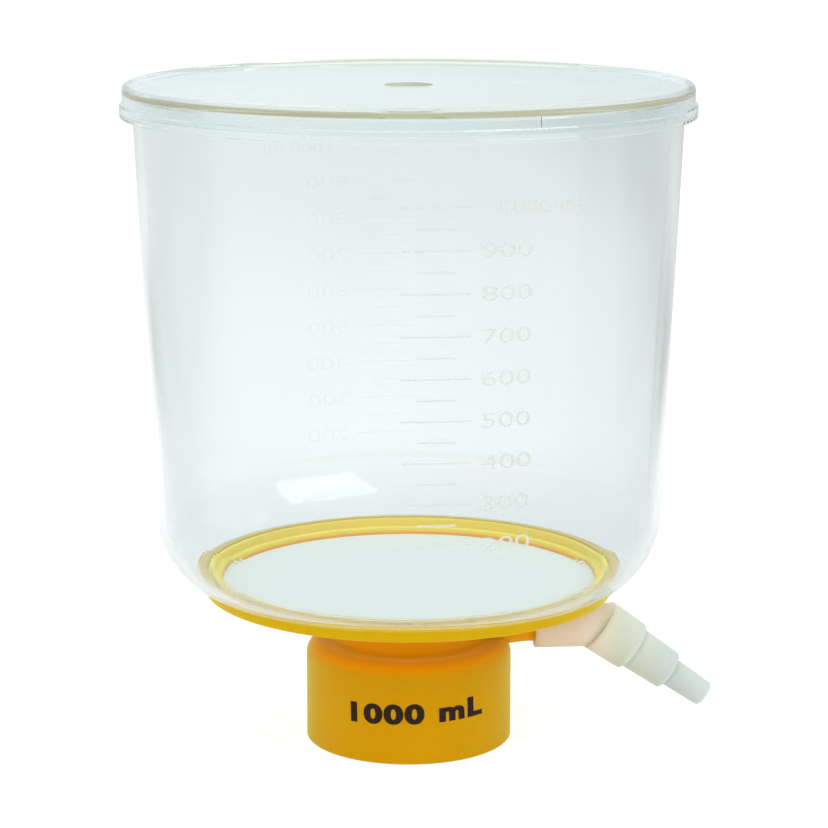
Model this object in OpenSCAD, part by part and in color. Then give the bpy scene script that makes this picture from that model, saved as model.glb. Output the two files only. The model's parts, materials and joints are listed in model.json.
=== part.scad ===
// Bottle-top vacuum filter, one litre.
//
// A clear funnel with a loose lid stands on a moulded base. The base is one
// moulding: a dish with the ribs that carry the membrane, a drain with its
// spout, a hollow neck, a vacuum nipple and the collar that screws on a bottle.
// An angled hose adapter is pushed on the nipple and turns on it.
//
// The axis of the funnel is Z. The mouth of the collar lies in the plane z = 0,
// and the nipple points along +X.

/* [Bottle collar] */
// Bore of the collar, measured to the root of the bottle's thread
thread_bore_d = 45.8; // [40:0.2:52]
// Wall of the collar around the thread
collar_wall = 1.6; // [1.2:0.1:3]
// Height of the collar
collar_h = 24; // [20:0.5:32]
// Rounding of the collar's upper edge
collar_round = 3.5; // [1:0.25:4]
// Thickness of the roof above the gasket
roof_t = 2.2; // [1.6:0.1:3]
// Thickness of the gasket
gasket_t = 2; // [1:0.25:3]
// Step from the thread bore in to the gasket's pocket
gasket_step = 1.4; // [0.8:0.1:2]
// Clearance all round the gasket
gasket_gap = 0.1; // [0.05:0.05:0.3]

/* [Neck] */
// Bore of the neck, which is the vacuum chamber
chamber_d = 31.6; // [26:0.2:33]
// Wall of the neck
neck_wall = 1.8; // [1.2:0.1:2.6]
// Fillet where the neck stands on the collar
neck_fillet = 1.2; // [0.4:0.1:2]

/* [Membrane] */
// Diameter of the membrane
membrane_d = 90; // [80:1:100]
// Thickness of the membrane
membrane_t = 0.2; // [0.1:0.05:0.4]
// Radial gap around the membrane
membrane_gap = 0.2; // [0.1:0.05:0.5]

/* [Dish] */
// Width of the land that the membrane is sealed to
land_w = 3.2; // [2:0.1:5]
// Depth of the membrane's seat under the ledge
seat_depth = 1.8; // [1.2:0.1:2.2]
// Width of the ledge around the membrane
ledge_w = 1.8; // [1:0.1:3]
// Height of the rim up to the funnel's seat
rim_h = 3; // [2.6:0.1:4]
// Width of the shoulder that the funnel stands on
shoulder_w = 0.55; // [0.4:0.05:1]
// Wall of the spigot inside the funnel's foot
spigot_wall = 0.95; // [0.7:0.05:1.5]
// Height of the spigot
spigot_h = 2; // [1.2:0.1:2.3]
// Rounding of the rim's lower edge
rim_round = 0.5; // [0.2:0.1:0.8]
// Thickness of the dish's floor
floor_t = 1.5; // [1.2:0.1:2]
// Step from the land down to the floor
floor_step = 0.6; // [0.4:0.1:1]
// Fall of the floor towards the drain, in degrees
floor_fall = 4.5; // [2:0.5:5]
// Bore of the drain
drain_d = 7; // [5:0.5:10]
// Wall of the drain's spout
spout_wall = 1.6; // [1:0.1:2.4]

/* [Support ribs] */
// Number of ribs that reach the drain, doubled at each ring outwards
rib_count = 12; // [8:1:16]
// Width of a rib
rib_w = 0.9; // [0.6:0.1:1.2]
// Distance of the innermost ribs from the drain's edge
rib_margin = 2; // [1:0.5:4]

/* [Vacuum nipple] */
// Outer diameter of the nipple
nipple_d = 7.2; // [6.8:0.1:8.2]
// Bore of the nipple
nipple_bore = 4.4; // [3:0.1:4.8]
// Length of the nipple past the collar's side
nipple_l = 22; // [20:0.5:30]
// Material between the gasket's seat and the nipple's root
nipple_floor = 0.2; // [0.1:0.05:1]
// Widening of the nipple at its root, on the radius
nipple_flare = 0.4; // [0.1:0.1:0.5]

/* [Hose adapter] */
// Radial clearance between the nipple and the adapter's socket
swivel_gap = 0.05; // [0.02:0.01:0.1]
// Wall of the socket
socket_wall = 1.55; // [1:0.05:1.7]
// Length of the nipple that the socket covers
socket_grip = 16.35; // [12:0.25:18]
// Lead at the socket's mouth
socket_lead = 0.4; // [0.2:0.1:0.6]
// Bend of the adapter below the nipple's axis, in degrees
bend = 35; // [20:0.5:45]
// Clearance under the dish's rim when the adapter is turned to point upwards
swing_gap = 1; // [0.3:0.1:2]
// Length of the first hose step, from the bend
tier1_l = 9.9; // [8:0.1:12]
// Length of each hose step after it
tier_l = 10.8; // [8:0.1:12]
// Diameter of the first step, at its foot
tier1_d = 13; // [12.2:0.1:13.4]
// Diameter of the second step, at its foot
tier2_d = 10.4; // [9:0.1:11]
// Diameter of the third step, at its foot
tier3_d = 7; // [6.4:0.1:8]
// Taper of the steps on each side, in degrees
tier_taper = 1.8; // [0.5:0.1:3]
// Rounding of each step's front edge
tier_round = 0.7; // [0.3:0.1:0.9]
// Bore through the steps
tier_bore = 3.8; // [2:0.1:4]

/* [Funnel] */
// Outer diameter of the funnel where its straight wall starts
funnel_low_d = 119; // [112:0.2:130]
// Draft of the wall on each side, in degrees
funnel_draft = 2.4; // [0.5:0.1:3]
// Height from the foot to the underside of the flange
funnel_h = 109.5; // [70:0.5:140]
// Wall of the funnel
funnel_wall = 1.8; // [1.4:0.1:2.4]
// Width of the flat foot
foot_w = 2.45; // [1.8:0.05:3.5]
// Height of the foot's collar around the spigot
foot_h = 2.4; // [2:0.1:3]
// Angle that the lower corner turns through before the foot
tuck = 58.5; // [45:0.5:70]
// Clearance between the spigot and the foot
foot_gap = 0.1; // [0.05:0.05:0.3]
// Width of the flange outside the wall
flange_w = 3; // [2.4:0.1:4]
// Thickness of the flange
flange_t = 1.75; // [1.2:0.05:2.5]

/* [Lid] */
// Height of the funnel's lip above its flange
lip_h = 3.15; // [2:0.05:5]
// Radial clearance between the funnel's lip and the lid's ribs
lid_gap = 0.25; // [0.2:0.05:0.6]
// Height that the centring ribs stand out of the skirt
lid_rib = 0.4; // [0.3:0.05:0.8]
// Width of a centring rib
lid_rib_w = 1; // [0.6:0.1:2]
// Wall of the lid's skirt
skirt_wall = 1.5; // [1.2:0.1:2.2]
// Height of the heavier band that rests on the flange
band_h = 1.2; // [1:0.05:2.5]
// Clearance where the lid rests on the flange
lid_rest = 0.05; // [0.03:0.01:0.1]
// Space between the funnel's lip and the lid's panel
lid_space = 0.5; // [0.3:0.1:1.5]
// Thickness of the panel
panel_t = 1.4; // [1:0.1:2.2]
// Height of the bead around the panel
bead_h = 0.9; // [0.4:0.1:1.6]
// Rounding of the lid's outer edge
bead_round = 1.5; // [0.6:0.1:1.5]
// Width of the slope from the bead down to the panel
bead_slope = 2; // [1:0.1:5]
// Diameter of the recess at the moulding gate
gate_d = 11.3; // [6:0.1:16]
// Depth of that recess
gate_depth = 0.4; // [0.2:0.1:0.6]

/* [Hidden] */
$fn = 96;
over = 1;          // how far a cutting tool reaches past what it cuts
edge = 0.3;        // small edge break on the mouldings
bend_back = 0.5;    // the bend lies this far back from the nipple's end
end_gap = 0.4;      // free space past the nipple's end in the socket
lid_rib_count = 3;
lid_rib_turn = -68; // place of the first centring rib, from +X

// Collar, roof and gasket
bore_r = thread_bore_d / 2;
collar_r = bore_r + collar_wall;
roof_z = collar_h - roof_t;
pocket_r = bore_r - gasket_step;
pocket_z = roof_z - gasket_t;
chamber_r = chamber_d / 2;
neck_r = chamber_r + neck_wall;

// Rings of the dish, from the membrane outwards
recess_r = membrane_d / 2 + membrane_gap;
land_r = membrane_d / 2 + membrane_gap - land_w;
spigot_in_r = recess_r + ledge_w;
spigot_r = spigot_in_r + spigot_wall;
rim_r = spigot_r + shoulder_w;

// Nipple and adapter
nipple_r = nipple_d / 2;
nipple_z = roof_z + nipple_floor + nipple_flare + nipple_r;
nipple_end = collar_r + nipple_l;
socket_bore_r = nipple_r + swivel_gap;
socket_r = socket_bore_r + socket_wall;
socket_x = nipple_end - socket_grip;
bend_x = nipple_end - bend_back;
socket_floor_x = nipple_end + end_gap;
tiers_l = tier1_l + 2 * tier_l;

// Height of the rim: the adapter turns freely under the dish, so the rim
// clears its first step, and the floor's underside clears its socket.
swing_r = tier1_d / 2 + rim_round + swing_gap;
swing_rise = (swing_r + (rim_r - rim_round - bend_x) * sin(bend)) / cos(bend) - rim_round;
floor_drop = (land_r - neck_r) * tan(floor_fall) + floor_step + floor_t + seat_depth - rim_h;
socket_rise = socket_r + swing_gap + floor_drop;
rim_z = nipple_z + max(swing_rise, socket_rise);

// Heights of the dish
foot_z = rim_z + rim_h;
seat_z = foot_z - seat_depth;
spigot_z = foot_z + spigot_h;
drain_r = drain_d / 2;
spout_r = drain_r + spout_wall;
spout_taper = 0.4;
under_r = recess_r + 0.8;
function floor_z(r) = seat_z - floor_step - (land_r - r) * tan(floor_fall);
function under_z(r) = floor_z(r) - floor_t;

// Funnel
foot_in_r = spigot_r + foot_gap;
foot_out_r = foot_in_r + foot_w;
low_r = funnel_low_d / 2;
corner_r = (low_r - foot_out_r) / (cos(funnel_draft) - cos(tuck));
corner_c = [low_r - corner_r * cos(funnel_draft), foot_z + corner_r * sin(tuck)];
low_z = corner_c[1] - corner_r * sin(funnel_draft);
flange_z = foot_z + funnel_h;
flange_top = flange_z + flange_t;
lip_z = flange_top + lip_h;
function wall_r(z) = low_r + (z - low_z) * tan(funnel_draft);
flange_r = wall_r(flange_z) + flange_w;

// Lid
rib_in_r = wall_r(lip_z) + lid_gap;
skirt_in_r = rib_in_r + lid_rib;
skirt_r = skirt_in_r + skirt_wall;
panel_z = lip_z + lid_space;
panel_top = panel_z + panel_t;
bead_top = panel_top + bead_h;

// Points of an arc about c, from angle a0 to angle a1.
function arc(c, r, a0, a1, n = 8) =
    [for (i = [0:n]) let (a = a0 + (a1 - a0) * i / n) c + r * [cos(a), sin(a)]];

// Collar, neck, dish and spout are one turned section.
module base_section() {
    polygon(concat(
        // outside of the collar, up to its rounded top edge
        [[bore_r, 0], [collar_r - edge, 0], [collar_r, edge]],
        arc([collar_r - collar_round, collar_h - collar_round], collar_round, 0, 90),
        // fillet and neck, then the underside of the dish
        arc([neck_r + neck_fillet, collar_h + neck_fillet], neck_fillet, 270, 180, 4),
        [[neck_r, under_z(neck_r)], [under_r, under_z(under_r)]],
        // rim, shoulder and spigot
        arc([rim_r - rim_round, rim_z + rim_round], rim_round, 270, 360, 4),
        [[rim_r, foot_z], [spigot_r, foot_z], [spigot_r, spigot_z - edge], [spigot_r - edge, spigot_z]],
        // ledge, membrane seat and floor down to the drain
        [[spigot_in_r, spigot_z], [spigot_in_r, foot_z], [recess_r, foot_z], [recess_r, seat_z]],
        [[land_r, seat_z], [land_r, floor_z(land_r)], [drain_r, floor_z(drain_r)]],
        // spout and vacuum chamber
        [[drain_r, roof_z], [spout_r - spout_taper, roof_z], [spout_r, under_z(spout_r)]],
        [[chamber_r, under_z(chamber_r)], [chamber_r, roof_z]],
        // gasket pocket and thread bore
        [[pocket_r, roof_z], [pocket_r, pocket_z], [bore_r, pocket_z]]
    ));
}

// One rib of the membrane support, from radius r0 out to the land.
module support_rib(r0) {
    root = 0.4;
    rotate([90, 0, 0])
        translate([0, 0, -rib_w / 2])
            linear_extrude(rib_w)
                polygon([
                    [r0, floor_z(r0) - root],
                    [land_r + root, floor_z(land_r) - root],
                    [land_r + root, seat_z],
                    [r0, seat_z]
                ]);
}

// Ribs in three rings. Each ring outwards has as many ribs as all the rings
// inside it, half a pitch round, so that the channels stay about as wide.
module support_ribs() {
    ring0 = drain_r + rib_margin;
    ring1 = 2 * ring0;
    ring2 = 4 * ring0;
    for (i = [0:rib_count - 1]) {
        rotate(i * 360 / rib_count) support_rib(ring0);
        rotate((i + 0.5) * 360 / rib_count) support_rib(ring1);
        rotate((i + 0.25) * 360 / rib_count) support_rib(ring2);
        rotate((i + 0.75) * 360 / rib_count) support_rib(ring2);
    }
}

// Nipple with its flared root, starting inside the neck's wall.
module nipple() {
    start = (chamber_r + neck_r) / 2;
    flare_end = collar_r + 4;
    translate([start, 0, nipple_z])
        rotate([0, 90, 0]) {
            cylinder(r = nipple_r, h = nipple_end - start - edge);
            cylinder(r = nipple_r - edge, h = nipple_end - start);
            cylinder(r = nipple_r + nipple_flare, h = collar_r - start);
            translate([0, 0, collar_r - start])
                cylinder(r1 = nipple_r + nipple_flare, r2 = nipple_r, h = flare_end - collar_r);
        }
}

module base() {
    color("gold")
        difference() {
            union() {
                rotate_extrude() base_section();
                support_ribs();
                nipple();
            }
            translate([chamber_r - over, 0, nipple_z])
                rotate([0, 90, 0])
                    cylinder(d = nipple_bore, h = nipple_end - chamber_r + 2 * over);
        }
}

module neck_gasket() {
    color("whitesmoke")
        translate([0, 0, pocket_z])
            difference() {
                cylinder(r = pocket_r - gasket_gap, h = gasket_t);
                translate([0, 0, -over])
                    cylinder(r = chamber_r + gasket_gap, h = gasket_t + 2 * over);
            }
}

module membrane() {
    color("white")
        translate([0, 0, seat_z])
            cylinder(d = membrane_d, h = membrane_t);
}

// Half section of the funnel: foot, rounded corner, tapered wall, flange, lip.
module funnel_section() {
    inner_r = corner_r - funnel_wall;
    inner_floor = asin((corner_c[1] - foot_z - foot_h) / inner_r);
    wall_x = funnel_wall / cos(funnel_draft);
    polygon(concat(
        [[foot_in_r, foot_z]],
        arc(corner_c, corner_r, -tuck, -funnel_draft, 24),
        [[wall_r(flange_z), flange_z]],
        arc([flange_r - edge, flange_z + edge], edge, 270, 360, 3),
        [[flange_r, flange_top], [wall_r(flange_top), flange_top]],
        [[wall_r(lip_z - edge), lip_z - edge], [wall_r(lip_z) - edge, lip_z]],
        [[wall_r(lip_z) - wall_x, lip_z]],
        arc(corner_c, inner_r, -funnel_draft, -inner_floor, 24),
        [[foot_in_r, foot_z + foot_h]]
    ));
}

module funnel() {
    color("lightcyan", 0.35)
        rotate_extrude() funnel_section();
}

// Half section of the lid: panel with its bead, skirt and resting band.
module lid_section() {
    foot_z = flange_top + lid_rest;
    band_z = foot_z + band_h;
    polygon(concat(
        [[0, panel_z], [skirt_in_r, panel_z], [skirt_in_r, foot_z]],
        [[flange_r, foot_z], [flange_r, band_z - edge], [flange_r - edge, band_z]],
        [[skirt_r, band_z]],
        arc([skirt_r - bead_round, bead_top - bead_round], bead_round, 0, 90),
        [[skirt_r - bead_round - bead_slope, panel_top], [0, panel_top]]
    ));
}

module lid() {
    color("azure", 0.35)
        difference() {
            union() {
                rotate_extrude() lid_section();
                for (i = [0:lid_rib_count - 1])
                    rotate(lid_rib_turn + i * 360 / lid_rib_count)
                        translate([rib_in_r, -lid_rib_w / 2, flange_top + band_h])
                            cube([lid_rib + skirt_wall / 2, lid_rib_w, panel_z - flange_top - band_h + edge]);
            }
            translate([0, 0, panel_top - gate_depth])
                cylinder(d = gate_d, h = gate_depth + over);
        }
}

// Outline of one hose step, from its foot at z0 to its rounded front edge at z1.
function tier_outline(foot_d, z0, z1) =
    let (foot_r = foot_d / 2, end_r = foot_r - (z1 - z0) * tan(tier_taper))
    concat(
        [[foot_r, z0]],
        arc([end_r - tier_round, z1 - tier_round], tier_round, 0, 90, 5)
    );

// The three hose steps are one turned section about their own axis.
module tiers() {
    rotate_extrude()
        polygon(concat(
            [[0, 0]],
            tier_outline(tier1_d, 0, tier1_l),
            tier_outline(tier2_d, tier1_l, tier1_l + tier_l),
            tier_outline(tier3_d, tier1_l + tier_l, tiers_l),
            [[0, tiers_l]]
        ));
}

// Socket with broken edges, cut off by the plane that the first step stands on.
module socket() {
    reach = bend_x - socket_x + tier1_d;
    size = 4 * tier1_d;
    difference() {
        translate([socket_x, 0, nipple_z])
            rotate([0, 90, 0])
                rotate_extrude()
                    polygon([
                        [socket_bore_r + socket_lead, 0],
                        [socket_r - edge, 0],
                        [socket_r, edge],
                        [socket_r, reach],
                        [0, reach],
                        [0, socket_lead],
                        [socket_bore_r, socket_lead]
                    ]);
        translate([bend_x, 0, nipple_z])
            rotate([0, 90 + bend, 0])
                translate([-size / 2, -size / 2, 0])
                    cube(size);
    }
}

module hose_adapter() {
    color("mintcream")
        difference() {
            union() {
                socket();
                translate([bend_x, 0, nipple_z])
                    rotate([0, 90 + bend, 0])
                        tiers();
            }
            // socket bore and the bore through the steps
            translate([socket_x - over, 0, nipple_z])
                rotate([0, 90, 0])
                    cylinder(r = socket_bore_r, h = socket_floor_x - socket_x + over);
            translate([bend_x, 0, nipple_z])
                rotate([0, 90 + bend, 0])
                    cylinder(d = tier_bore, h = tiers_l + over);
        }
}

lid();
funnel();
membrane();
base();
neck_gasket();
hose_adapter();
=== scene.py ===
import json
import math

import bmesh
import bpy
from mathutils import Matrix, Vector


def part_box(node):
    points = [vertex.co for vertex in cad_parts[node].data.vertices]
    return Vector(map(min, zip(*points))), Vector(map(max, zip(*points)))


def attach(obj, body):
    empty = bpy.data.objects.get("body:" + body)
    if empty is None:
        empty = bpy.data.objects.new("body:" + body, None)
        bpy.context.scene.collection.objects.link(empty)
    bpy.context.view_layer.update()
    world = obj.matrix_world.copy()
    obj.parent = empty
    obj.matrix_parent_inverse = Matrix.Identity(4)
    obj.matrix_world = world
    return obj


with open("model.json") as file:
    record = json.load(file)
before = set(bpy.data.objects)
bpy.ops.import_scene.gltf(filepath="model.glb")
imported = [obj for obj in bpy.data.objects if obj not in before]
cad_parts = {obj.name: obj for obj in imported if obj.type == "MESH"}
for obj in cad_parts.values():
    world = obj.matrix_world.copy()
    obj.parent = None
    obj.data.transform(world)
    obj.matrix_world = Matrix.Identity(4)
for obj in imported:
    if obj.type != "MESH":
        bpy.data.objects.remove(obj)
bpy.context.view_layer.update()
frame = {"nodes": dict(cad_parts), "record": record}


# ---------------------------------------------------------------------------
# Studio. The unit stands on a white table in a white room. Large soft lamps
# light it from the left, the right and above. The table and the room look a
# little darker to the sides, which the bent walls of the clear pieces pick up.
# ---------------------------------------------------------------------------


class Signal:
    """What leaves one node socket. Arithmetic on it adds Math nodes to its net."""

    def __init__(self, net, socket):
        self.net = net
        self.socket = socket

    def maths(self, operation, first, second):
        return self.net.add("ShaderNodeMath", {"operation": operation}, [first, second])

    def __add__(self, other):
        return self.maths("ADD", self, other)

    def __sub__(self, other):
        return self.maths("SUBTRACT", self, other)

    def __rsub__(self, other):
        return self.maths("SUBTRACT", other, self)

    def __mul__(self, other):
        return self.maths("MULTIPLY", self, other)

    def __truediv__(self, other):
        return self.maths("DIVIDE", self, other)

    def __pow__(self, other):
        return self.maths("POWER", self, other)

    def __or__(self, other):
        return self.maths("MAXIMUM", self, other)

    def __and__(self, other):
        return self.maths("MINIMUM", self, other)

    def cosine(self):
        return self.maths("COSINE", self, 0.0)

    def sine(self):
        return self.maths("SINE", self, 0.0)

    def eased(self, start, end):
        """Rises smoothly from 0 at `start` to 1 at `end`."""
        settings = {"interpolation_type": "SMOOTHSTEP"}
        return self.net.add("ShaderNodeMapRange", settings, [self, start, end, 0.0, 1.0])

    __radd__ = __add__
    __rmul__ = __mul__


class Net:
    """A node tree being wired. `add` makes a node and hands back its outputs."""

    def __init__(self, tree):
        self.tree = tree
        tree.nodes.clear()

    def add(self, kind, settings=None, values=(), out=0):
        node = self.tree.nodes.new(kind)
        for name, value in (settings or {}).items():
            setattr(node, name, value)
        pairs = values.items() if isinstance(values, dict) else enumerate(values)
        for key, value in pairs:
            if isinstance(value, Signal):
                self.tree.links.new(value.socket, node.inputs[key])
            else:
                node.inputs[key].default_value = value
        if not node.outputs:
            return node
        if isinstance(out, tuple):
            return tuple(Signal(self, node.outputs[name]) for name in out)
        return Signal(self, node.outputs[out])


def ray_kinds(net):
    """Whether a ray comes from the camera, off a gloss or through something clear."""
    kinds = ("Is Camera Ray", "Is Glossy Ray", "Is Transmission Ray")
    return net.add("ShaderNodeLightPath", out=kinds)


def aside_and_away(net, kind):
    """How far a ray goes, or a point lies, to the room's right and to its back."""
    place = net.add("ShaderNodeTexCoord", out=kind)
    return net.add("ShaderNodeSeparateXYZ", values=[place], out=("X", "Y"))


world = bpy.data.worlds.new("white_room")
world.use_nodes = True
room = Net(world.node_tree)
camera_ray, glossy_ray, through_ray = ray_kinds(room)
aside, away = aside_and_away(room, "Generated")
left_wall = (0 - aside).eased(0.2, 0.9)
right_wall = aside.eased(0.2, 0.9)
seen_through = 1 - left_wall * 0.16 - right_wall * 0.26
mirrored = 0.35 + 0.57 * away.eased(-0.9, 0.1) * (1 - 0.6 * aside.eased(-0.1, 0.8))
room_light = 0.62
past_white = 1.1
strength = (
    camera_ray * past_white
    + through_ray * seen_through
    + glossy_ray * (1 - through_ray) * mirrored
    + (1 - (camera_ray | through_ray | glossy_ray)) * room_light
)
room.add(
    "ShaderNodeOutputWorld",
    values={
        "Surface": room.add(
            "ShaderNodeBackground", values={"Color": (0.92, 1, 1, 1), "Strength": strength}
        )
    },
)
bpy.context.scene.world = world

half = 3
corners = [(-half, -half, 0), (half, -half, 0), (half, half, 0), (-half, half, 0)]
floor_mesh = bpy.data.meshes.new("table")
floor_mesh.from_pydata(corners, [], [(0, 1, 2, 3)])
floor = bpy.data.objects.new("table", floor_mesh)
air_under_ring = 0.0001
floor.location.z = -air_under_ring
bpy.context.collection.objects.link(floor)
white_top = bpy.data.materials.new("white_table")
white_top.use_nodes = True
table = Net(white_top.node_tree)
camera_ray, glossy_ray, through_ray = ray_kinds(table)
aside, away = aside_and_away(table, "Object")
near = away.eased(0.8, 0.35) * away.eased(-0.05, 0.12)
left_side = (0 - aside).eased(0.15, 0.3) * (0.07 + near * 0.33)
right_side = aside.eased(-0.05, 0.08) * 0.05 + aside.eased(0.15, 0.3) * (0.14 + near * 0.25)
# Painted shadow: round the unit the table is darker for rays seen through the clear plastic and
# in gloss, standing in for the unit's own shadow.
painted_shadow_round_unit = ((aside * aside + away * away) ** 0.5).eased(0.36, 0.14) * 0.16
behind = away.eased(0.55, 1.1) * 0.03
own_light = 0.15 + (camera_ray | through_ray) * 0.55
white = table.add(
    "ShaderNodeMixShader",
    values=[
        own_light,
        table.add("ShaderNodeBsdfDiffuse", values={"Color": (0.9, 0.9, 0.9, 1)}),
        table.add("ShaderNodeEmission", values={"Color": (1, 1, 1, 1), "Strength": 1.2}),
    ],
)
dark = table.add("ShaderNodeEmission", values={"Color": (0, 0, 0, 1), "Strength": 0.0})
dimmed = (through_ray | glossy_ray) * (left_side + right_side + painted_shadow_round_unit) + through_ray * behind
table.add(
    "ShaderNodeOutputMaterial",
    values={"Surface": table.add("ShaderNodeMixShader", values=[dimmed, white, dark])},
)
floor_mesh.materials.append(white_top)


def soft_lamp(name, place, aim, size, power):
    lamp = bpy.data.lights.new(name, "AREA")
    lamp.shape = "RECTANGLE"
    lamp.size, lamp.size_y = size
    lamp.energy = power
    holder = bpy.data.objects.new(name, lamp)
    holder.location = place
    holder.rotation_euler = (Vector(aim) - Vector(place)).to_track_quat("-Z", "Y").to_euler()
    bpy.context.collection.objects.link(holder)
    return holder


left_box = soft_lamp("left_box", (-0.95, -0.9, 0.8), (0, 0, 0.07), (1.4, 1.4), 12)
left_box.visible_glossy = left_box.visible_transmission = False
right_box = soft_lamp("right_box", (0.68, -0.66, 0.7), (0, 0, 0.06), (0.9, 0.8), 6)
right_box.visible_glossy = False
top_box = soft_lamp("top_box", (0.05, 0.15, 1.1), (0, 0, 0.08), (0.9, 0.9), 5)
top_box.visible_glossy = top_box.visible_transmission = False

# The camera looks a little down, from a little left of the nipple's broad side.
camera_turn = math.radians(4.0)
camera_tilt = math.radians(11.81)
camera_reach = 0.6397
camera_height = 0.2121
camera_data = bpy.data.cameras.new("camera")
camera_data.lens = 120.42
camera_data.sensor_width = 36.0
camera_data.shift_x = 0.0064
camera_data.shift_y = 0.0006
camera = bpy.data.objects.new("camera", camera_data)
camera.location = (
    -camera_reach * math.sin(camera_turn),
    -camera_reach * math.cos(camera_turn),
    camera_height,
)
camera.rotation_euler = (math.pi / 2 - camera_tilt, 0, -camera_turn)
bpy.context.collection.objects.link(camera)
bpy.context.scene.camera = camera
bpy.context.scene.view_settings.view_transform = "Standard"
paths = bpy.context.scene.cycles
paths.max_bounces = 160
paths.transmission_bounces = 128
paths.glossy_bounces = 128
paths.transparent_max_bounces = 24


# ---------------------------------------------------------------------------
# Base. One polypropylene moulding in golden yellow: dish, support ribs, spout,
# neck, nipple and collar. The mould leaves a fine satin on it, and the thin
# walls let some light through.
# ---------------------------------------------------------------------------


def new_finish(name):
    material = bpy.data.materials.new(name)
    material.use_nodes = True
    return material, Net(material.node_tree)


def blend_colours(net, share, first, second):
    """Mixes colours: the node takes them at 6 and 7 and gives the result at 2."""
    settings = {"data_type": "RGBA", "clamp_factor": True}
    return net.add("ShaderNodeMix", settings, {0: share, 6: first, 7: second}, out=2)


def speckle(net, scale, detail):
    place = net.add("ShaderNodeTexCoord", out="Object")
    values = {"Vector": place, "Scale": scale, "Detail": detail, "Roughness": 0.55}
    return net.add("ShaderNodeTexNoise", {"noise_dimensions": "3D"}, values, out="Fac")


def grained(net, height, strength, distance, **more):
    """A fine grain raised out of the surface by a bump."""
    values = {"Strength": strength, "Distance": distance, "Height": height, **more}
    return net.add("ShaderNodeBump", values=values)


def reach_and_height(net):
    """Distance from the unit's axis, and height above the table."""
    place = net.add("ShaderNodeTexCoord", out="Object")
    x, y, z = net.add("ShaderNodeSeparateXYZ", values=[place], out=("X", "Y", "Z"))
    return (x * x + y * y) ** 0.5, z


def dress(node_name, material):
    slots = frame["nodes"][node_name].data.materials
    slots.clear()
    slots.append(material)


yellow, net = new_finish("yellow_moulding")
flow = speckle(net, 38, 2.0)
fine = speckle(net, 2600, 3.0)
reach, z = reach_and_height(net)
collar_top, rim_reach, spigot_reach = 0.024, 0.0485, 0.048
spigot_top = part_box("base")[1].z
# Painted light: above the collar, on the neck and under the dish, the yellow is painted
# brighter and more orange, for light bounced between yellow faces in that shade.
neck_painted_glow = z.eased(collar_top - 0.0035, collar_top - 0.0005)
# Painted light: the outside of the rim is painted a lighter yellow, where light falls on its
# thin wall and shines through it.
rim_painted_light = reach.eased(rim_reach - 0.001, rim_reach)
rim_painted_light = rim_painted_light * z.eased(spigot_top - 0.0068, spigot_top - 0.0055)
# Painted glow: the spigot is painted a bright lemon, standing in for light that shines through
# it inside the funnel.
spigot_painted_glow = z.eased(spigot_top - 0.0033, spigot_top - 0.0026)
spigot_painted_glow = spigot_painted_glow * reach.eased(spigot_reach + 0.0002, spigot_reach)
golden = blend_colours(net, flow, (0.53, 0.265, 0.0, 1), (0.565, 0.29, 0.0, 1))
golden = blend_colours(net, neck_painted_glow, golden, (0.78, 0.335, 0.0, 1))
golden = blend_colours(net, rim_painted_light, golden, (0.515, 0.31, 0.0, 1))
golden = blend_colours(net, spigot_painted_glow, golden, (0.715, 0.565, 0.09, 1))
skin = net.add(
    "ShaderNodeBsdfPrincipled",
    values={
        "Base Color": golden,
        "Roughness": 0.3 + fine * 0.12,
        "IOR": 1.49,
        "Specular IOR Level": 0.03,
        "Sheen Weight": 0.7,
        "Sheen Roughness": 0.45,
        "Sheen Tint": (0.8, 1.0, 0.2, 1),
        "Subsurface Weight": 0.35,
        "Subsurface Radius": (1.0, 0.35, 0.02),
        "Subsurface Scale": 0.002,
        "Normal": grained(net, fine, 0.25, 0.00004),
    },
)
net.add("ShaderNodeOutputMaterial", values={"Surface": skin})
dress("base", yellow)


# ---------------------------------------------------------------------------
# Thread of the collar. A right-handed ridge with a 4 mm pitch, moulded inside
# the collar, that fades out at both of its ends.
# ---------------------------------------------------------------------------

bottle_neck = frame["record"]["mounts"][0]
bore = bottle_neck["dims"]["r_mm"] / 1000


def new_tree(name, sizes):
    """A geometry tree with one input for each size, and one for a finish."""
    tree = bpy.data.node_groups.new(name, "GeometryNodeTree")
    net = Net(tree)
    tree.interface.new_socket("Geometry", in_out="INPUT", socket_type="NodeSocketGeometry")
    for label, value in sizes.items():
        kind = "NodeSocketMaterial" if label == "Finish" else "NodeSocketFloat"
        tree.interface.new_socket(label, in_out="INPUT", socket_type=kind)
    tree.interface.new_socket("Geometry", in_out="OUTPUT", socket_type="NodeSocketGeometry")
    names = ("Geometry",) + tuple(sizes)
    return net, dict(zip(names, net.add("NodeGroupInput", out=names)))


def finished(net, size, shape):
    values = {"Geometry": shape, "Material": size["Finish"]}
    return net.add("GeometryNodeSetMaterial", values=values)


def grown(name, net, sizes, mesh=None):
    """Runs a tree on a mesh with these sizes and gives the result as a plain piece."""
    piece = bpy.data.objects.new(name, mesh or bpy.data.meshes.new(name))
    bpy.context.collection.objects.link(piece)
    modifier = piece.modifiers.new("build", "NODES")
    modifier.node_group = net.tree
    for item in net.tree.interface.items_tree:
        if item.in_out == "INPUT" and item.name in sizes:
            modifier[item.identifier] = sizes[item.name]
    evaluated = piece.evaluated_get(bpy.context.evaluated_depsgraph_get())
    solid = bpy.data.meshes.new_from_object(evaluated)
    piece.modifiers.clear()
    piece.data = solid
    solid.name = name
    return piece


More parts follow.
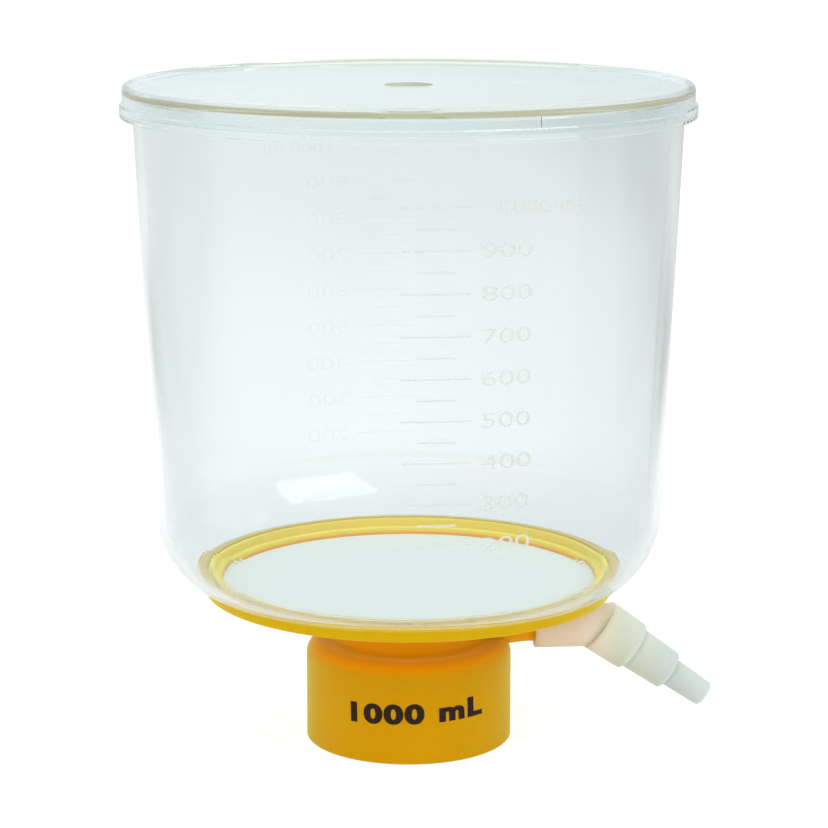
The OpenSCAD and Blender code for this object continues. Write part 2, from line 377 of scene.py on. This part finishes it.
thread_sizes = {
    "Radius": bore,
    "Turns": 3.25,
    "Pitch": 0.004,
    "Start": 0.0028,
    "Depth": 0.0011,
    "Finish": yellow,
}
net, size = new_tree("thread_ridge", thread_sizes)
helix = net.add(
    "GeometryNodeCurveSpiral",
    values={
        "Resolution": 72,
        "Rotations": size["Turns"],
        "Start Radius": size["Radius"],
        "End Radius": size["Radius"],
        "Height": size["Turns"] * size["Pitch"],
        "Reverse": True,
    },
)
along = net.add("GeometryNodeSplineParameter", out="Factor")
fade_rate = 14
fade = along * fade_rate & (1 - along) * fade_rate & 1.0
helix = net.add("GeometryNodeSetCurveNormal", {"mode": "Z_UP"}, {"Curve": helix})
helix = net.add("GeometryNodeSetCurveRadius", values={"Curve": helix, "Radius": fade})
lift = net.add("ShaderNodeCombineXYZ", values=[0.0, 0.0, size["Start"]])
helix = net.add("GeometryNodeSetPosition", values={"Geometry": helix, "Offset": lift})
section = net.add(
    "GeometryNodeCurvePrimitiveQuadrilateral",
    {"mode": "TRAPEZOID"},
    {
        "Height": size["Depth"] * 2.0,
        "Bottom Width": size["Pitch"] * 0.62,
        "Top Width": size["Pitch"] * 0.2,
        "Offset": 0.0,
    },
)
section = net.add(
    "GeometryNodeTransform",
    values={"Geometry": section, "Rotation": (0, 0, math.pi / 2)},
)
ridge = net.add(
    "GeometryNodeCurveToMesh",
    values={"Curve": helix, "Profile Curve": section, "Fill Caps": True},
)
ridge = net.add("GeometryNodeRealizeInstances", values=[ridge])
net.add("NodeGroupOutput", values=[finished(net, size, ridge)])
thread = grown("collar_thread", net, thread_sizes)
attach(thread, "filter")


# ---------------------------------------------------------------------------
# Gasket. A soft white ring that seals on the rim of the bottle's mouth.
# ---------------------------------------------------------------------------

seal, net = new_finish("white_seal")
chalk = speckle(net, 1900, 3.0)
skin = net.add(
    "ShaderNodeBsdfPrincipled",
    values={
        "Base Color": blend_colours(net, chalk, (0.74, 0.73, 0.7, 1), (0.82, 0.82, 0.79, 1)),
        "Roughness": 0.55 + chalk * 0.15,
        "Normal": grained(net, chalk, 0.3, 0.00005),
    },
)
net.add("ShaderNodeOutputMaterial", values={"Surface": skin})
dress("neck_gasket", seal)


# ---------------------------------------------------------------------------
# Membrane. A thin white disc of microporous film, matt and a little cloudy,
# sealed to the base at its rim.
# ---------------------------------------------------------------------------

film, net = new_finish("membrane_film")
cloud = speckle(net, 90, 2.0)
pores = speckle(net, 4200, 2.0)
skin = net.add(
    "ShaderNodeBsdfPrincipled",
    values={
        "Base Color": blend_colours(net, cloud, (0.61, 0.66, 0.645, 1), (0.65, 0.695, 0.68, 1)),
        "Roughness": 0.62 + pores * 0.2,
        "Normal": grained(net, pores, 0.3, 0.00003),
    },
)
net.add("ShaderNodeOutputMaterial", values={"Surface": skin})
dress("membrane", film)


# ---------------------------------------------------------------------------
# Funnel. Clear polystyrene, moulded in one piece and fixed round the spigot of
# the base. It is polished, with a faint cool tint, and lamps shine through it.
# ---------------------------------------------------------------------------


def clear_plastic(name, tint, edge=None, painted_edge_light=None, weld=None):
    """`edge` and `weld` say where an edge with painted light and a melted face are."""
    material, net = new_finish(name)
    shadow_ray, diffuse_ray = net.add(
        "ShaderNodeLightPath", out=("Is Shadow Ray", "Is Diffuse Ray")
    )
    colour = blend_colours(net, edge(net), tint, painted_edge_light) if edge else tint
    streak = speckle(net, 60, 2.0)
    glass = net.add(
        "ShaderNodeBsdfPrincipled",
        values={
            "Base Color": colour,
            "Roughness": 0.01 + streak * 0.02,
            "IOR": 1.5,
            "Transmission Weight": 1.0,
        },
    )
    if weld:
        # Light that has run up the wall by many reflections has lost the yellow.
        bounces = net.add("ShaderNodeLightPath", out="Glossy Depth")
        seen_colour = blend_colours(
            net, bounces.eased(3.0, 6.0), (0.56, 0.39, 0.0, 1), (0.76, 0.8, 0.78, 1)
        )
        melted = net.add(
            "ShaderNodeBsdfPrincipled",
            values={"Base Color": seen_colour, "Roughness": 0.4 + streak * 0.2},
        )
        glass = net.add("ShaderNodeMixShader", values=[weld(net), glass, melted])
    lit = net.add("ShaderNodeBsdfTransparent", values={"Color": (0.99, 0.99, 0.99, 1)})
    both = net.add("ShaderNodeMixShader", values=[shadow_ray | diffuse_ray, glass, lit])
    net.add("ShaderNodeOutputMaterial", values={"Surface": both})
    return material


def weld_seam(net):
    """The underside and the inner face of the foot, melted on the yellow spigot."""
    reach, z = reach_and_height(net)
    foot, foot_height, foot_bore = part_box("funnel")[0].z, 0.0024, 0.0481
    underside = z.eased(foot + 0.0003, foot + 0.0001)
    under_top = z.eased(foot + foot_height, foot + foot_height - 0.0001)
    return underside | reach.eased(foot_bore + 0.0002, foot_bore) * under_top


cool = (0.877, 0.912, 0.912, 1)
dress("funnel", clear_plastic("funnel_polystyrene", cool, weld=weld_seam))


# ---------------------------------------------------------------------------
# Lid. The same clear polystyrene. Light that runs inside the flat panel leaves at
# its edge, painted on as an olive band all the way round, and the gate is a dull disc.
# ---------------------------------------------------------------------------


def panel_edge(net):
    """The edge of the flat panel, seen in the side of the lid, where olive light is painted,
    and the gate, tinted the same olive.
    """
    reach, z = reach_and_height(net)
    side, _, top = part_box("lid")[1]
    outside = reach.eased(side - 0.0014, side - 0.0011)
    band = outside * z.eased(top - 0.0025, top - 0.0022) * z.eased(top - 0.0008, top - 0.0011)
    gate_reach = 0.0055
    return band | reach.eased(gate_reach + 0.0003, gate_reach)


# Painted light: the olive of the light that leaves the panel's edge.
olive = (0.54, 0.53, 0.36, 1)
dress("lid", clear_plastic("lid_polystyrene", (0.9, 0.955, 0.955, 1), panel_edge, olive))


# ---------------------------------------------------------------------------
# Hose adapter. Natural polyethylene, milky and waxy. The yellow of the nipple,
# showing faintly through the socket that covers it, is painted on the socket.
# ---------------------------------------------------------------------------

milky, net = new_finish("natural_polyethylene")
haze = speckle(net, 240, 3.0)
fine = speckle(net, 3000, 2.0)
place = net.add("ShaderNodeTexCoord", out="Object")
along = net.add("ShaderNodeSeparateXYZ", values=[place], out="X")
nipple_tip = 0.0465
plain = blend_colours(net, haze, (0.49, 0.52, 0.44, 1), (0.52, 0.55, 0.47, 1))
plain = blend_colours(net, along.eased(0.052, 0.064), plain, (0.45, 0.49, 0.465, 1))
# Painted light: the socket over the nipple is painted a lighter yellowish cream, which makes up
# for the shade under the dish.
socket_painted_lighter = blend_colours(
    net, along.eased(nipple_tip + 0.006, nipple_tip - 0.003), plain, (0.68, 0.66, 0.54, 1)
)
# Painted light: the yellow of the nipple showing through the milky socket is painted on as a
# warm tone.
nipple_painted_through = along.eased(nipple_tip, nipple_tip - 0.009) * 0.85
milk = blend_colours(net, nipple_painted_through, socket_painted_lighter, (0.68, 0.53, 0.39, 1))
soft_edges = net.add("ShaderNodeBevel", {"samples": 8}, {"Radius": 0.003})
skin = net.add(
    "ShaderNodeBsdfPrincipled",
    values={
        "Base Color": milk,
        "Roughness": 0.36 + fine * 0.1,
        "IOR": 1.51,
        "Specular IOR Level": 0.2,
        "Subsurface Weight": 0.9,
        "Subsurface Radius": (1.0, 0.95, 0.85),
        "Subsurface Scale": 0.006,
        # Painted glow: a faint emission in the milky colour stands in for light scattered
        # inside the plastic and softens its shading.
        "Emission Color": milk,
        "Emission Strength": 0.1,
        "Normal": grained(net, fine, 0.2, 0.00004, Normal=soft_edges),
    },
)
net.add("ShaderNodeOutputMaterial", values={"Surface": skin})
dress("hose_adapter", milky)


# ---------------------------------------------------------------------------
# Graduations. A scale in thin white ink on the front of the funnel, a line for
# each 50 mL and a number for each 100 mL, and the same scale on its back. It is
# laid out flat, then wrapped on the cone of the wall.
# ---------------------------------------------------------------------------

facing = -math.pi / 2 - camera_turn
capital_share = 0.729


def figures(words, height, stretch, bold=0.0, spacing=1.0):
    """Flat figures as a mesh, with their left foot at the origin."""
    curve = bpy.data.curves.new("figures", "FONT")
    curve.body = words
    curve.size = height / capital_share
    curve.offset = bold
    curve.space_character = spacing
    holder = bpy.data.objects.new("figures", curve)
    bpy.context.collection.objects.link(holder)
    evaluated = holder.evaluated_get(bpy.context.evaluated_depsgraph_get())
    flat = bpy.data.meshes.new_from_object(evaluated)
    bpy.data.objects.remove(holder)
    left = min(vertex.co.x for vertex in flat.vertices)
    flat.transform(Matrix.Diagonal((stretch, 1, 1, 1)) @ Matrix.Translation((-left, 0, 0)))
    return flat


def laid_out(name, parts):
    """Joins flat meshes, each moved to its own place, in one flat mesh."""
    sheet = bmesh.new()
    for flat, place in parts:
        flat.transform(Matrix.Translation((place[0], place[1], 0)))
        sheet.from_mesh(flat)
    bmesh.ops.triangulate(sheet, faces=sheet.faces)
    joined = bpy.data.meshes.new(name)
    sheet.to_mesh(joined)
    sheet.free()
    return joined


def wall_radius(node_name, height):
    """Radius of a node's outside at this height, felt from outside."""
    out = Vector((math.cos(facing), math.sin(facing), 0))
    well_clear = 0.2
    start = out * well_clear + Vector((0, 0, height))
    return frame["nodes"][node_name].ray_cast(start, -out)[1].xy.length


def wrapped(net, size, flat):
    """Rolls flat art round the axis: x runs round the wall and y is the height."""
    place = net.add("GeometryNodeInputPosition")
    across, height = net.add("ShaderNodeSeparateXYZ", values=[place], out=("X", "Y"))
    radius = size["Radius"] + (height - size["Height of the radius"]) * size["Slope"]
    angle = size["Turn"] + across / radius
    lifted = radius + size["Lift"]
    rolled = net.add(
        "ShaderNodeCombineXYZ", values=[lifted * angle.cosine(), lifted * angle.sine(), height]
    )
    return net.add("GeometryNodeSetPosition", values={"Geometry": flat, "Position": rolled})


def ink(name, colour, cover):
    material, net = new_finish(name)
    grain = speckle(net, 1500, 2.0)
    skin = net.add(
        "ShaderNodeBsdfPrincipled",
        values={
            "Base Color": colour,
            "Roughness": 0.42 + grain * 0.16,
            "Specular IOR Level": 0.1,
            "Alpha": cover * (0.9 + grain * 0.2),
        },
    )
    net.add("ShaderNodeOutputMaterial", values={"Surface": skin})
    return material


def rules(net, size, count, first, width, middle):
    """A column of level lines, all as wide as each other."""
    line = net.add(
        "GeometryNodeMeshGrid",
        values={"Size X": width, "Size Y": size["Line"], "Vertices X": 16, "Vertices Y": 2},
        out="Mesh",
    )
    feet = net.add(
        "GeometryNodeMeshLine",
        values={
            "Count": count,
            "Start Location": net.add("ShaderNodeCombineXYZ", values=[middle, first, 0.0]),
            "Offset": net.add("ShaderNodeCombineXYZ", values=[0.0, size["Step"], 0.0]),
        },
    )
    return net.add("GeometryNodeInstanceOnPoints", values={"Points": feet, "Instance": line})


first_mark, last_mark, mark_step = 200, 1000, 100
first_height, rise = 0.0616, 0.00925
number_height = 0.0034
numbers = []
for count, amount in enumerate(range(first_mark, last_mark + 1, mark_step)):
    words = f"{amount} mL" if amount == last_mark else str(amount)
    stretch, left = (1.35, 0.0205) if amount == last_mark else (1.7, 0.0158)
    foot = first_height + count * rise - number_height / 2
    numbers.append((figures(words, number_height, stretch), (left, foot)))
low, high = 0.075, 0.135
low_radius, high_radius = (wall_radius("funnel", height) for height in (low, high))
scale_sizes = {
    "Radius": low_radius,
    "Height of the radius": low,
    "Slope": (high_radius - low_radius) / (high - low),
    "Turn": facing,
    "Lift": 0.00006,
    "First height": first_height,
    "Step": rise,
    "Count": float(len(numbers)),
    "Line": 0.0004,
    "Finish": None,
}
net, size = new_tree("scale", scale_sizes)
lines, lowest = size["Count"], size["First height"]
half_way = lowest + size["Step"] * 0.5
long_rules = rules(net, size, lines, lowest, width=0.0152, middle=0.0059)
short_rules = rules(net, size, lines - 1, half_way, width=0.0085, middle=0.00595)
smooth = net.add("GeometryNodeSubdivideMesh", values={"Mesh": size["Geometry"], "Level": 2})
joined = net.tree.nodes.new("GeometryNodeJoinGeometry")
for part in (smooth, long_rules, short_rules):
    net.tree.links.new(part.socket, joined.inputs[0])
art = net.add("GeometryNodeRealizeInstances", values=[Signal(net, joined.outputs[0])])
art = wrapped(net, size, art)
net.add("NodeGroupOutput", values=[finished(net, size, art)])
flat_numbers = laid_out("numbers", numbers)
# Painted shade: the white ink is coloured a darker grey-green, for the way it is lit less than
# the wall.
pale = (0.56, 0.585, 0.55, 1)
# Painted light: the back scale's ink is laid on almost clear, 0.05 against 0.86 at the front,
# so that the ink in the shade at the back does not show dark.
for name, turn, cover in (("front_scale", 0.0, 0.86), ("back_scale", math.pi, 0.05)):
    finish = ink(name + "_ink", pale, cover)
    scale_sizes.update({"Turn": facing + turn, "Finish": finish})
    scale = grown(name, net, scale_sizes, flat_numbers.copy())
    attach(scale, "filter")


# ---------------------------------------------------------------------------
# Mark on the collar. The volume in bold black ink, set a little out of level.
# ---------------------------------------------------------------------------

words = figures("1000 mL", 0.0045, stretch=1.4, bold=0.00032, spacing=1.14)
wide = max(vertex.co.x for vertex in words.vertices)
words.transform(Matrix.Rotation(math.radians(1.5), 4, "Z"))
mid_collar = 0.012
mark_sizes = {
    "Radius": wall_radius("base", mid_collar),
    "Height of the radius": mid_collar,
    "Slope": 0.0,
    "Turn": facing,
    "Lift": 0.00005,
    "Finish": ink("black_ink", (0.022, 0.012, 0.008, 1), 0.93),
}
net, size = new_tree("mark", mark_sizes)
art = net.add("GeometryNodeSubdivideMesh", values={"Mesh": size["Geometry"], "Level": 2})
art = wrapped(net, size, net.add("GeometryNodeRealizeInstances", values=[art]))
net.add("NodeGroupOutput", values=[finished(net, size, art)])
right_shift, below = 0.0024, 0.0022
flat_words = laid_out("volume", [(words, (right_shift - wide / 2, mid_collar - below))])
mark = grown("collar_mark", net, mark_sizes, flat_words)
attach(mark, "filter")
